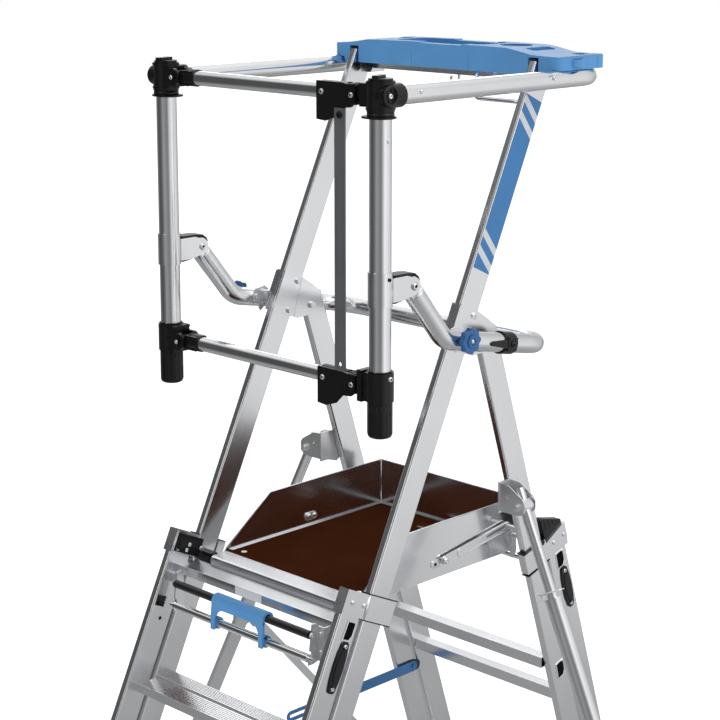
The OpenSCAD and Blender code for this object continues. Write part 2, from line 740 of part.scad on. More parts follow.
module bracket_ear(y) {
  translate([0, y + 2.1, 0]) rotate([90, 0, 0]) linear_extrude(2.1) difference() {
    polygon([[out + 2.5, 112], [out + 2.5, 170], [out + 26, 168], [312, 148], [317, 140], [317, 122],
             [308, 114], [290, 112]]);
    translate([out + 24, 146]) circle(4);
  }
}
// pin stubs on the rear stiles beside the stay links
module stay_pins() {
  color([0.6, 0.61, 0.63]) pair() D() {
    xc(203, stile_in + gap - eps, 468, 47, 5);
    xc(stile_in - 6, stile_in + gap - eps, 468, 47, 9);
    xc(201.6, 204, 468, 47, 8);
  }
}

// ---------- lower rear section ----------
module lower_rear(s) {
  color([0.8, 0.81, 0.83]) side(s) difference() {
    R() difference() {
      translate([stile_in, rear_o, -1330]) box_tube(stile_w, rear_d, 1318);
      translate([out - 5, 96, -72]) rotate([0, 90, 0]) rotate([0, 0, 180]) cylinder(r = 8, h = 10, $fn = 5);
      for (z = [-105, -180]) xc(out - 5, out + 5, 99, z, 3);
    }
    below(25);
  }
}
module rear_lower_stiles() { for (s = [-1, 1]) lower_rear(s); }
module rear_lower_crossbars() {
  color([0.78, 0.79, 0.8]) D() for (z = [-374, -704, -1034]) {
    y = rplane(68, z);
    difference() {
      box([-stile_in, stile_in], [y, y + 28], [z - 23, z]);
      box([-stile_in - 2, stile_in + 2], [y + 2, y + 26], [z - 21, z - 2]);
    }
  }
}
module rear_guides() {
  color([0.72, 0.73, 0.75]) pair() R() {
    difference() {
      union() {
        xplate(231.6, 255.2, [[-7, -46], [-7, 0], [60, 0], [62, -12], [127.6, 2.3], [127.6, -30], [125, -49],
                              [64, -49]]);
      }
      box([stile_in - eps, out + eps], [rear_o - eps, rear_o + rear_d + eps], [-80, 80]);
      box([stile_in - 1.2, out + 1.2], [-1.2, 56.2], [-80, 80]);
      box([230, stile_in + 2], [-8, 50], [-80, 80]);
      for (y = [118, 84.5]) xc(240, 260, y, -23.5, 2.5);
    }
    for (y = [118, 84.5]) {
      xc(out + eps, 254, y, -23.5, 2.4);
      button_x(255.2, y, -23.5, 4.5, 2.5);
    }
  }
}
// ribbed black caps on top of the lower rear stiles, runners and eyelets
module rear_liners() {
  color([0.06, 0.06, 0.065]) pair() R() {
    xplate(stile_in, out, [[rear_o + 0.1, -11.9], [rear_o + 0.1, 41], [70, 42], [120.7, 12], [120.7, -11.9]]);
    for (i = [0:3]) xplate(stile_in - 0.8, out + 0.8, [[72 + i*12, 14], [76 + i*12, 14], [76 + i*12, 35 - i*7],
                                                    [72 + i*12, 37.5 - i*7]]);
    for (z = [-51.4, 0.3]) difference() {
      box([stile_in + 2, 256.4], [-8, 62], [z, z + 2]);
      box([stile_in - 2, out + 0.5], [-0.5, 55.5], [z - 1, z + 3]);
    }
    xc(255.2, 258, 50, -2, 6);
  }
}
module rear_covers() {
  color([0.05, 0.05, 0.055]) pair() R() translate([out + eps, 99, -142.5]) {
    rotate([90, 0, 90]) linear_extrude(2.4) lens(13, 99);
    rotate([90, 0, 90]) translate([0, 0, 2.4]) linear_extrude(1.6) lens(9.5, 88);
    for (z = [-37.5, 37.5]) {
      xc(-4, 0.5, 0, z, 2.9);
      button_x(3.9, 0, z, 4, 2);
    }
  }
}
module rear_feet() {
  color([0.05, 0.05, 0.055]) pair() difference() {
    R() box([stile_in - foot_t, out + foot_t], [rear_o - foot_t, rear_o + rear_d + foot_t], [-1400, -1100]);
    below(0);
    above(58);
    difference() {
      R() box([stile_in - 0.1, out + 0.1], [rear_o - 0.1, rear_o + rear_d + 0.1], [-1500, -1000]);
      below(24.9);
    }
  }
}
module rear_grip_rod() {
  color([0.06, 0.06, 0.065]) pair() R() {
    xc(186, 205, 112, -52, 7);
  }
  color([0.06, 0.06, 0.065]) R() xc(-192, 192, 112, -52, 6.5);
}
module rear_grip_brackets() {
  color([0.66, 0.67, 0.69]) pair() R() difference() {
    union() {
      xplate(205.1, 208, [[76, -40], [120, -40], [120, -100], [76, -100]]);
      box([208, stile_in - eps], [76, 79], [-96, -50]);
    }
    for (z = [-86, -75.9]) xc(200, 212, 84, z, 4.3);
    box([200, 212], [79.7, 88.3], [-86, -76]);
  }
}
module rear_release_rod() {
  rear_handle();
  color([0.86, 0.87, 0.88]) R() {
    xc(-204, 204, 84, -86, 7.9);
    pair() xc(204, 212, 84, -86, 4);
  }
}
module rear_handle() {
  color([0.29, 0.55, 0.8]) R() for (x = [-72, 60]) difference() {
    union() {
      xc(x, x + 12, 84, -86, 12.5);
      box([x, x + 12], [78, 104], [-104, -76]);
    }
    xc(x - 1, x + 13, 84, -86, 7.95);
  }
}

// ---------- platform ----------
module toe_boards() {
  t = 2;
  color([0.75, 0.76, 0.78]) D() {
    pair() difference() {
      xplate(plat_w - t, plat_w, [[20, -18], [50.8, 6.8], [173.7, toe_h - 0.5], [plat_rear - 29.3, toe_h],
                                  [plat_rear, toe_h - 45], [plat_rear, -12.6], [46, -12.6], [40, -18]]);
      xc(180, 220, plat_piv[0], plat_piv[1], 6);
      xc(180, 220, stay_piv[0], stay_piv[1], 4);
    }
    // rear toe board
    box([-plat_w + t, plat_w - t], [plat_rear - t, plat_rear], [-12.6, toe_h - 45]);
    difference() {
      box([-plat_w + t, plat_w - t], [plat_rear - t - 0.001, plat_rear - 0.001], [toe_h - 46, toe_h]);
      box([plat_w - 5, plat_w + 5], [plat_rear - 50, plat_rear + 50], [toe_h - 30, toe_h + 50]);
    }
    // light strip at the foot of the boards
    pair() box([plat_w - 9, plat_w - t], [62, plat_rear - t], [0.2, 2]);
    box([-plat_w + 9, plat_w - 9], [plat_rear - 10, plat_rear - t], [0.2, 2]);
    // inner bolts of the stay links
    pair() xc(plat_w - t - 5, plat_w - t, stay_piv[0], stay_piv[1], 7);
  }
}
module deck_board() {
  color([0.24, 0.13, 0.09]) D() difference() {
    box([-plat_w + 2.2, plat_w - 2.2], [54, plat_rear - 2.2], [-9.4, 0]);
    // hand hole
    translate([0, 0, -20]) linear_extrude(40) translate([-45, 440]) rsq(90, 30, 14.9);
  }
}
// rounded aluminium edge that the platform hinges on
module platform_profile() {
  color([0.78, 0.79, 0.8]) D() difference() {
    xplate(-plat_w + 2.2, plat_w - 2.2, [[14, 0], [10, -1.5], [8.2, -5], [8, -10], [9, -20], [13, -26], [20, -27],
                                    [50, -27], [53.5, -24], [53.5, -1], [52.5, 0]]);
    xc(-200, 200, plat_piv[0], plat_piv[1], 6);
    box([-200, 200], [12, 22], [-22, -4]);
    box([-200, 200], [38, 50], [-24, -3]);
    for (i = [0:5]) box([-200, 200], [18 + i*6, 20 + i*6], [-0.8, 1]);
  }
}
module platform_pins() {
  color([0.6, 0.61, 0.63]) D() pair() {
    xc(150, 222, plat_piv[0], plat_piv[1], 5.98);
    xc(plat_w - 1.7, plat_w + 4.4, stay_piv[0], stay_piv[1], 3.95);
    xc(plat_w + 4, plat_w + 9, stay_piv[0], stay_piv[1], 3.95);
    xc(201.3, 203, stay_piv[0], stay_piv[1], 8);
    button_x(203, stay_piv[0], stay_piv[1], 6.5, 3.5);
    // hooks at the rear corners that rest on the rear frame
    xplate(plat_w, plat_w + 3, [[488, 30], [502, 30], [505, -12], [498, -30], [488, -26], [486, 0]]);
    xc(plat_w + 3, plat_w + 10, 496, 20, 5);
  }
}
module stay(s) {
  // flat link with a long slot at its rear end
  a = [281, 20.5];
  e = [468, 47];
  l = norm(e - a);
  color([0.72, 0.73, 0.75]) side(s) D() translate([197.9, a[0], a[1]]) rotate([atan2(e[1] - a[1], e[0] - a[0]), 0, 0])
    difference() {
      union() {
        box([0, 3], [0, l], [-9, 9]);
        xc(0, 3, 0, 0, 9);
        xc(0, 3, l, 0, 9);
      }
      xc(-1, 4, 0, 0, 4);
      box([-1, 4], [l - 60, l], [-3.5, 3.5]);
      for (y = [l - 60, l]) xc(-1, 4, y, 0, 3.5);
    }
}
module stay_links() { for (s = [-1, 1]) stay(s); }
// ---------- gate ----------
module gate_tube(z, px) {
  difference() {
    xc(-225, 176, 0, z, gate_dia/2);
    xc(-226, 177, 0, z, gate_dia/2 - 1.6);
  }
}
module gate_top_tube() {
  color([0.85, 0.86, 0.88]) D() gate_tube(gate_z);
}
module gate_low_tube() {
  color([0.85, 0.86, 0.88]) D() gate_tube(gate_low_z);
}
// black ends of a gate tube: tongue with the hinge pin on the left, flat bracket on the right
module gate_ends(z, px) {
  difference() {
    union() {
      xc(-228, -196, 0, z, gate_dia/2 + 2.5);
      box([-232, -200], [-14, 14], [z - 14, z + 14]);
      xc(-226, -224, 0, z, gate_dia/2 + 3.5);
      yc(-14.8, 14.8, px, z, 12);
      box([px, -225], [-14.8, 14.8], [z - 12, z + 12]);
      // right end
      xc(150, 216, 0, z, gate_dia/2 + 5);
      translate([0, -14.4, z]) rotate([90, 0, 0]) linear_extrude(4.6)
        polygon([[150, -50], [172, -52], [196, -44], [214, -26], [236, -24], [246, -16], [246, 14], [216, 18.9],
                 [150, 18.9]]);
      box([214, 246], [-18, 16], [z - 18, z + 16]);
      xc(244, 254.6, 0, z, 13.5);
      for (i = [0:2]) box([222 + i*8, 225 + i*8], [-19.5, 17.5], [z - 20, z + 17.5]);
    }
    box([170, 250], [-10, 30], [z - 60, z - 20.5]);
    xc(-225.2, 176.2, 0, z, gate_dia/2 + 0.01);
    yc(-30, 30, px, z, 4);
  }
  // the hinge pin turns with the tube
  yc(-24, 24, px, z, 3.95);
  yc(-25.5, -22.3, px, z, 6.5);
  yc(22.3, 24.5, px, z, 6.5);
  button_y(-18.9, 163.5, z, 5, 3);
  button_y(-17.9, 237, z - 2, 5, 3);
}
module gate_top_ends() {
  color([0.06, 0.06, 0.065]) D() {
    gate_ends(gate_z, gate_x);
    // pin that the drop bar hangs on
    yc(-24, -13, 212.5, gate_z - 38, 3.95);
    xplate(206, 219, [[-18.9, gate_z - 50], [-13, gate_z - 50], [-13, gate_z - 20], [-18.9, gate_z - 20]]);
    button_y(-23, 212.5, gate_z - 38, 6.5, 3);
  }
}
module gate_low_ends() {
  color([0.06, 0.06, 0.065]) D() gate_ends(gate_low_z, gate_x);
}
module gate_drop_bar() {
  color([0.42, 0.43, 0.45]) D() {
    difference() {
      box([199, 226], [-22.4, -19.9], [462, 938]);
      yc(-30, 0, 212.5, gate_z - 38, 4.02);
      yc(-30, 0, 212.5, 474, 4.02);
    }
  }
}
// ---------- clamping knobs ----------
module knob(s) {
  color([0.2, 0.45, 0.75]) side(s) D() translate([317, 207.9, 497.3]) rotate([0, 90, 0]) {
    difference() {
      union() {
        cylinder(r = 21.5, h = 11);
        for (i = [0:7]) rotate([0, 0, i*45]) translate([19.5, 0, 0]) cylinder(r = 5.4, h = 11);
        cylinder(r = 12, h = 13.5);
        translate([0, 0, -3]) cylinder(r = 10, h = 4);
      }
      for (i = [0:7]) rotate([0, 0, 22.5 + i*45]) translate([26.5, 0, -1]) cylinder(r = 4.5, h = 20);
      translate([0, 0, 12]) cylinder(r = 7, h = 3);
    }
  }
}
module knob_left() { knob(-1); }
module knob_right() { knob(1); }

// ---------- stabilisers ----------
foot_s = 1400;
module stab_tube(s) {
  color([0.85, 0.86, 0.88]) S(s) difference() {
    union() {
      translate([0, 0, -720]) cylinder(r = stab_in/2, h = 752);
      rotate([90, 0, 0]) cylinder(r = 14, h = 27, center = true);
    }
    translate([0, 0, -721]) cylinder(r = stab_in/2 - 1.8, h = 690);
    translate([0, 0, 20]) cylinder(r = stab_in/2 - 1.8, h = 20);
    rotate([90, 0, 0]) cylinder(r = 5, h = 40, center = true);
  }
}
module stab_tube_left() {
  stab_tube(-1);
  stab_cap(-1);
}
module stab_tube_right() {
  stab_tube(1);
  stab_cap(1);
}
module stab_cap(s) {
  color([0.06, 0.06, 0.065]) S(s) {
    translate([0, 0, 20.1]) cylinder(r = stab_in/2 - 1.9, h = 12);
    translate([0, 0, 32 + eps]) cylinder(r = stab_in/2, h = 3);
  }
}
module stab_leg(s) {
  color([0.85, 0.86, 0.88]) S(s) difference() {
    translate([0, 0, -foot_s]) cylinder(r = stab_out/2, h = foot_s - 192);
    translate([0, 0, -foot_s - 1]) cylinder(r = stab_out/2 - 1.8, h = foot_s);
  }
}
module stab_leg_left() {
  stab_leg(-1);
  stab_clamp(-1);
  stab_foot(-1);
}
module stab_leg_right() {
  stab_leg(1);
  stab_clamp(1);
  stab_foot(1);
}
// bushing at the mouth of the leg and the clamp with the lug for the strut
module stab_clamp(s) {
  color([0.1, 0.1, 0.1]) S(s) {
    translate([0, 0, -235]) difference() {
      cylinder(r = stab_out/2 - 1.85, h = 43);
      translate([0, 0, -1]) cylinder(r = stab_in/2 + 0.06, h = 50);
    }
    translate([0, 0, -192 + eps]) difference() {
      cylinder(r = stab_out/2 + 1, h = 4);
      translate([0, 0, -1]) cylinder(r = stab_in/2 + 0.06, h = 50);
    }
  }
  color([0.7, 0.71, 0.73]) S(s) translate([0, 0, -510]) difference() {
    union() {
      cylinder(r = stab_out/2 + 3, h = 34);
      box([s > 0 ? -34 : 0, s > 0 ? 0 : 34], [10, 14], [0, 34]);
    }
    translate([0, 0, -1]) cylinder(r = stab_out/2 + eps, h = 40);
  }
}
module stab_foot(s) {
  color([0.05, 0.05, 0.055]) difference() {
    S(s) difference() {
      translate([0, 0, -foot_s - 90]) cylinder(r = stab_out/2 + 5, h = 140);
      translate([0, 0, -foot_s - eps]) cylinder(r = stab_out/2 + eps, h = 80);
    }
    below(0);
  }
}
// flat struts from the lower rear stiles to the clamps, given by their two ends
module strut(s) {
  a = [261.5, 880, -975];
  e = [502, 397, -318];
  d = e - a;
  color([0.72, 0.73, 0.75]) side(s) D() {
    translate(a) rotate([0, 0, atan2(d[1], d[0])]) rotate([0, -atan2(d[2], norm([d[0], d[1]])), 0])
      rotate([90, 0, 0]) rotate([0, 0, 0]) {
        translate([8, -9, -1.5]) cube([norm(d) - 46, 18, 3]);
        translate([8, 0, -1.5]) cylinder(r = 9, h = 3);
        translate([norm(d) - 38, 0, -1.5]) cylinder(r = 9, h = 3);
      }
    // pin at the lower end
    yc(a[1] - 7, a[1] + 7, a[0], a[2], 4.5);
  }
}
module strut_left() { strut(-1); }
module strut_right() { strut(1); }

// ---------- locking strap between the frames, left side ----------
module spreader_strap() {
  y1 = rplane(42, -440);
  color([0.16, 0.35, 0.6]) D() difference() {
    union() {
      box([-231, -228.5], [y1 - 390, y1], [-452, -428]);
      xc(-231, -228.5, y1, -440, 12);
      xc(-231, -228.5, y1 - 390, -440, 12);
      xc(-234.5, -231, y1, -440, 4);
      xc(-228.5, -225.5, y1, -440, 6);
    }
    xc(-240, -220, y1 - 390, -440, 4);
    box([-240, -220], [y1 - 390, y1 - 340], [-444, -436]);
  }
}

uprights();
upright_plugs();
upper_treads();
hinge_plates();
hinge_bolts();
rail_hooks();
platform_bearings();
guard_posts();
bottom_fittings();
top_fittings();
post_sleeves();
sleeve_inserts();
top_bow();
knee_bow();
rail_saddles();
tray();
tray_bar();
front_stiles();
front_treads();
front_guides();
front_liners();
front_covers();
front_feet();
front_grip_rod();
front_grip_brackets();
front_release_rod();
front_handle();
rear_stiles();
rear_plugs();
rear_crossbars();
stabiliser_brackets();
stay_pins();
rear_lower_stiles();
rear_lower_crossbars();
rear_guides();
rear_liners();
rear_covers();
rear_feet();
rear_grip_rod();
rear_grip_brackets();
rear_release_rod();
toe_boards();
deck_board();
platform_profile();
platform_pins();
stay_links();
gate_top_tube();
gate_top_ends();
gate_low_tube();
gate_low_ends();
gate_drop_bar();
knob_left();
knob_right();
stab_tube_left();
stab_tube_right();
stab_leg_left();
stab_leg_right();
strut_left();
strut_right();
spreader_strap();
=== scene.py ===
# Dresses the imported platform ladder: materials, label, sticker, fasteners and small fittings.
# All lengths here are metres. The ladder's frames are the same as in the CAD source.
import math
import bpy
import bmesh
from mathutils import Matrix, Vector


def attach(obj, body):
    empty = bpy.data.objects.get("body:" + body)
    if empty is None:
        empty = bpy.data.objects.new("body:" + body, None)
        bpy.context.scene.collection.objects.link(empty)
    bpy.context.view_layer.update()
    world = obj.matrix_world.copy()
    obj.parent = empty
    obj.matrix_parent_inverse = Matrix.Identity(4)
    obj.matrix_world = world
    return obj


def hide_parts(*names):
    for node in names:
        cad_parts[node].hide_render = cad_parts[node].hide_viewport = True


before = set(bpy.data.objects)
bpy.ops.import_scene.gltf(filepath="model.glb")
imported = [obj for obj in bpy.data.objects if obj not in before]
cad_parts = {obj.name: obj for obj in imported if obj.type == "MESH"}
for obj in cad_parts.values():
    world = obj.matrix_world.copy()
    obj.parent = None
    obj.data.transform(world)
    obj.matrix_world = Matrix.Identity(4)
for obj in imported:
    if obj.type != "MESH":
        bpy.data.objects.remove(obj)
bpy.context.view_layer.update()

# ---------------------------------------------------------------- frames
DECK = 1.165
LEAN, RLEAN = math.radians(25.2), math.radians(17.86)
FY, RY = 0.0023, 0.4667
CF, SF, CR, SR = math.cos(LEAN), math.sin(LEAN), math.cos(RLEAN), math.sin(RLEAN)
FRONT_Y = FY + (-0.0663 - DECK * SF) / CF
REAR_Y = RY + (0.1228 + DECK * SR) / CR
Y0 = -(FRONT_Y + REAR_Y) / 2

M_DECK = Matrix.Translation((0, Y0, DECK))
M_FRONT = M_DECK @ Matrix.Translation((0, FY, 0)) @ Matrix.Rotation(-LEAN, 4, "X")
M_REAR = M_DECK @ Matrix.Translation((0, RY, 0)) @ Matrix.Rotation(RLEAN, 4, "X")
# the right stabiliser's frame: its tube runs along -Z from the pivot
M_STAB = (M_DECK @ Matrix.Translation((0.302, 0.3984, 0.13)) @ Matrix.Rotation(math.radians(-1.95), 4, "X")
          @ Matrix.Rotation(math.radians(-25.87), 4, "Y"))

# ---------------------------------------------------------------- camera and light
# the eye in the deck's frame, its angle below the horizon, its turn, and the lens in millimetres
EYE = Vector((2.5472, -2.3321, 1.2737))
EYE_DOWN, EYE_TURN, EYE_LENS, EYE_SHIFT = 11.607, 44.676, 93.265, -0.0881

cam_data = bpy.data.cameras.new("camera")
cam = bpy.data.objects.new("camera", cam_data)
bpy.context.scene.collection.objects.link(cam)
cam.location = M_DECK @ EYE
cam.rotation_euler = (math.radians(90 - EYE_DOWN), 0, math.radians(EYE_TURN))
cam_data.sensor_width = 36
cam_data.lens = EYE_LENS
cam_data.shift_y = EYE_SHIFT
cam_data.clip_end = 60
bpy.context.scene.camera = cam
bpy.context.scene.view_settings.view_transform = "Standard"
bpy.context.scene.view_settings.look = "None"


def node(nt, kind, **kw):
    n = nt.nodes.new(kind)
    for k, v in kw.items():
        if k in n.inputs:
            n.inputs[k].default_value = v
        else:
            setattr(n, k, v)
    return n


# Grey level of the studio around the ladder as a metal surface sees it: azimuth in turns from -X
# through -Y, +X and +Y back to -X, then the level. A dark flag stands to the front left.
WALLS = [(0.0, 0.24), (0.06, 0.10), (0.125, 0.07), (0.20, 0.13), (0.27, 0.32), (0.33, 0.25), (0.40, 0.20),
         (0.46, 0.62), (0.50, 1.0), (0.56, 0.86), (0.64, 0.78), (0.72, 0.60), (0.80, 0.50), (0.875, 0.80),
         (0.94, 0.55), (1.0, 0.24)]
# darker foot of the back wall, where the floor ends, by azimuth
FLOOR_BACK = {0.80: 0.34, 0.875: 0.16, 0.94: 0.20}
CEILING = 0.95     # level overhead, as metal sees it
PLAIN = 0.62       # level all round, for matt surfaces
FLOOR_NEAR = 0.34  # level of the floor under the ladder, as metal sees it
FLOOR_GLOW = 0.66  # the floor's own light, which keeps it white for the camera


def ramp_node(nt, socket, stops):
    r = node(nt, "ShaderNodeValToRGB")
    e = r.color_ramp.elements
    e[0].position, e[0].color = stops[0][0], (stops[0][1],) * 3 + (1,)
    e[1].position, e[1].color = stops[-1][0], (stops[-1][1],) * 3 + (1,)
    for pos, level in stops[1:-1]:
        e.new(pos).color = (level, level, level, 1)
    nt.links.new(socket, r.inputs[0])
    return r.outputs[0]


def studio_walls(nt, vector, stops):
    """Level by azimuth of a direction, and the split vector."""
    split = node(nt, "ShaderNodeSeparateXYZ")
    nt.links.new(vector, split.inputs[0])
    angle = node(nt, "ShaderNodeMath", operation="ARCTAN2")
    nt.links.new(split.outputs["Y"], angle.inputs[0])
    nt.links.new(split.outputs["X"], angle.inputs[1])
    turn = node(nt, "ShaderNodeMath", operation="MULTIPLY_ADD")
    turn.inputs[1].default_value = 1 / (2 * math.pi)
    turn.inputs[2].default_value = 0.5
    nt.links.new(angle.outputs[0], turn.inputs[0])
    return ramp_node(nt, turn.outputs[0], stops), split


def blend_colours(nt, factor, a, b):
    m = node(nt, "ShaderNodeMix", data_type="RGBA")
    for socket, i in ((factor, 0), (a, 6), (b, 7)):
        nt.links.new(socket, m.inputs[i])
    return m.outputs[2]


def grey(nt, level):
    c = node(nt, "ShaderNodeRGB")
    c.outputs[0].default_value = (level, level, level, 1)
    return c.outputs[0]


def mix_shaders(nt, factor, a, b):
    m = node(nt, "ShaderNodeMixShader")
    for socket, i in ((factor, 0), (a, 1), (b, 2)):
        nt.links.new(socket, m.inputs[i])
    return m.outputs[0]


def flat_light(nt, level):
    return node(nt, "ShaderNodeBackground", Strength=1.0, Color=(level, level, level, 1)).outputs[0]


world = bpy.data.worlds.new("studio")
bpy.context.scene.world = world
world.use_nodes = True
nt = world.node_tree
nt.nodes.clear()
coord = node(nt, "ShaderNodeTexCoord")
walls, split = studio_walls(nt, coord.outputs["Generated"], WALLS)
lift = ramp_node(nt, split.outputs["Z"], [(0.0, 0.0), (0.52, 0.0), (0.72, 1.0), (1.0, 1.0)])
sky = node(nt, "ShaderNodeBackground", Strength=1.0)
nt.links.new(blend_colours(nt, lift, walls, grey(nt, CEILING)), sky.inputs["Color"])
path = node(nt, "ShaderNodeLightPath")
soft_sky = mix_shaders(nt, path.outputs["Is Diffuse Ray"], sky.outputs[0], flat_light(nt, PLAIN))
outw = node(nt, "ShaderNodeOutputWorld")
nt.links.new(mix_shaders(nt, path.outputs["Is Camera Ray"], soft_sky, flat_light(nt, 1.0)), outw.inputs[0])


def area(name, loc, aim_height, size, power):
    """A rectangular lamp aimed at the ladder's middle line."""
    d = bpy.data.lights.new(name, "AREA")
    d.energy = power
    d.shape = "RECTANGLE"
    d.size, d.size_y = size
    o = bpy.data.objects.new(name, d)
    bpy.context.scene.collection.objects.link(o)
    o.location = loc
    o.rotation_euler = (Vector((0, 0, aim_height)) - Vector(loc)).to_track_quat("-Z", "Y").to_euler()


area("key", (3.2, 0.9, 4.2), 1.5, (2.6, 2.6), 36)
area("fill", (-0.6, -4.2, 3.4), 1.4, (1.4, 2.2), 14)
area("rim", (-2.6, 3.0, 3.8), 1.6, (2.4, 1.4), 20)

# ---------------------------------------------------------------- materials
MATS = {}


def base_material(name, colour, rough, metallic=0.0, spec=0.5):
    """A new material in MATS; returns its node tree and its main shader."""
    m = bpy.data.materials.new(name)
    m.use_nodes = True
    b = m.node_tree.nodes["Principled BSDF"]
    b.inputs["Base Color"].default_value = (*colour, 1)
    b.inputs["Roughness"].default_value = rough
    b.inputs["Metallic"].default_value = metallic
    b.inputs["Specular IOR Level"].default_value = spec
    m.diffuse_color = (*colour, 1)
    MATS[name] = m
    return m.node_tree, b


def texture(t, scale, detail, stretch=(1, 1, 1), rot=(0, 0, 0)):
    """Noise in the object's own coordinates, stretched after a turn."""
    place = node(t, "ShaderNodeTexCoord")
    mapping = node(t, "ShaderNodeMapping", Rotation=rot, Scale=stretch)
    noise = node(t, "ShaderNodeTexNoise", Scale=scale, Detail=detail, Roughness=0.55)
    t.links.new(place.outputs["Object"], mapping.inputs["Vector"])
    t.links.new(mapping.outputs["Vector"], noise.inputs["Vector"])
    return noise


def shades(colour, spread):
    """The colour a little darker and a little lighter."""
    return [tuple(min(1, c * factor) for c in colour) for factor in (1 - spread, 1 + spread)]


def vary_colour(t, b, noise, dark, light):
    """Lets the noise carry the base colour from dark to light."""
    r = node(t, "ShaderNodeValToRGB")
    for i, pos, colour in ((0, 0.35, dark), (1, 0.65, light)):
        r.color_ramp.elements[i].position = pos
        r.color_ramp.elements[i].color = (*colour, 1)
    t.links.new(noise.outputs["Fac"], r.inputs[0])
    t.links.new(r.outputs[0], b.inputs["Base Color"])


def vary_roughness(t, b, source, lo, hi, span=(0.0, 1.0)):
    """Maps the source from span to a roughness between lo and hi."""
    m = node(t, "ShaderNodeMapRange")
    for socket, value in zip(("From Min", "From Max", "To Min", "To Max"), (*span, lo, hi)):
        m.inputs[socket].default_value = value
    t.links.new(source, m.inputs["Value"])
    t.links.new(m.outputs["Result"], b.inputs["Roughness"])


def bump(t, b, height, strength, dist):
    u = node(t, "ShaderNodeBump", Strength=strength, Distance=dist)
    t.links.new(height, u.inputs["Height"])
    t.links.new(u.outputs["Normal"], b.inputs["Normal"])


def metal(name, colour, rough, stretch, rot=(0, 0, 0), line=0.05):
    """Extruded or drawn metal: fine lines along the profile and soft cloudy variation."""
    t, b = base_material(name, colour, rough, metallic=1.0)
    lines = texture(t, 1.0, 4.0, stretch, rot)
    cloud = texture(t, 5.0, 2.0, rot=rot)
    vary_colour(t, b, cloud, *shades(colour, 0.03))
    both_noises = node(t, "ShaderNodeMath", operation="ADD")
    t.links.new(lines.outputs["Fac"], both_noises.inputs[0])
    t.links.new(cloud.outputs["Fac"], both_noises.inputs[1])
    vary_roughness(t, b, both_noises.outputs[0], rough * 0.8, rough * 1.25, (0.6, 1.4))
    if line:
        bump(t, b, lines.outputs["Fac"], line, 0.00002)


ALU = (0.84, 0.85, 0.87)
TUBE = (0.86, 0.87, 0.89)
metal("alu_front", ALU, 0.22, (900, 900, 6), (LEAN, 0, 0))
metal("alu_rear", ALU, 0.22, (900, 900, 6), (-RLEAN, 0, 0))
metal("alu_cross", ALU, 0.22, (6, 900, 900))
metal("alu_sheet", ALU, 0.17, (300, 8, 300))
metal("alu_cast", (0.82, 0.83, 0.85), 0.27, (60, 60, 60), line=0.0)
metal("alu_tube_z", TUBE, 0.15, (500, 500, 5))
metal("alu_tube_y", TUBE, 0.15, (500, 5, 500))
metal("alu_tube_x", TUBE, 0.15, (5, 500, 500))
metal("zinc", (0.86, 0.87, 0.88), 0.38, (40, 40, 40), line=0.0)
metal("grey_bar", (0.36, 0.37, 0.38), 0.55, (400, 400, 5))
metal("chrome", (0.88, 0.89, 0.90), 0.10, (5, 300, 300), line=0.04)


def plastic(name, colour, rough, grain=900.0, strength=0.25, spread=0.12, spec=0.5):
    """Moulded plastic, rubber, paint or foil: fine grain and soft variation of colour and gloss."""
    t, b = base_material(name, colour, rough, spec=spec)
    fine = texture(t, grain, 2.0)
    soft = texture(t, 14.0, 3.0)
    vary_colour(t, b, soft, *shades(colour, spread))
    vary_roughness(t, b, soft.outputs["Fac"], rough * 0.85, rough * 1.15)
    bump(t, b, fine.outputs["Fac"], strength, 0.00005)


plastic("black_plastic", (0.0050, 0.0050, 0.0058), 0.30, spec=0.34)
# painted shade: flat near-black with almost no sheen, laid over openings and holes to stand for their dark inside
plastic("hole_shade_black", (0.0020, 0.0020, 0.0024), 0.60, spec=0.05)
plastic("black_rubber", (0.013, 0.013, 0.014), 0.62, 500, 0.4)
plastic("black_rod", (0.012, 0.012, 0.013), 0.26, 700, 0.12)
plastic("blue_plastic", (0.078, 0.275, 0.575), 0.42, 1100, 0.25, spread=0.04)
plastic("blue_knob", (0.016, 0.100, 0.285), 0.38, 1100, 0.25, spread=0.05)
plastic("blue_strap", (0.020, 0.120, 0.300), 0.35, 700, 0.15)
plastic("white_sticker", (0.82, 0.82, 0.80), 0.45, 900, 0.08, spread=0.02)
plastic("blue_label", (0.028, 0.165, 0.400), 0.38, 900, 0.08, spread=0.05)
plastic("stripe_label", (0.56, 0.60, 0.62), 0.38, 900, 0.08, spread=0.03)

# brown film-faced plywood with a fine wire-mesh press pattern
t, b = base_material("brown_board", (0.060, 0.0172, 0.0068), 0.60, spec=0.0)
soft = texture(t, 9.0, 4.0)
vary_colour(t, b, soft, (0.055, 0.0155, 0.0061), (0.065, 0.0189, 0.0075))
mesh_print = node(t, "ShaderNodeTexVoronoi", Scale=330.0)
place = node(t, "ShaderNodeTexCoord")
t.links.new(place.outputs["Object"], mesh_print.inputs["Vector"])
bump(t, b, mesh_print.outputs["Distance"], 0.25, 0.0003)
vary_roughness(t, b, soft.outputs["Fac"], 0.52, 0.66)

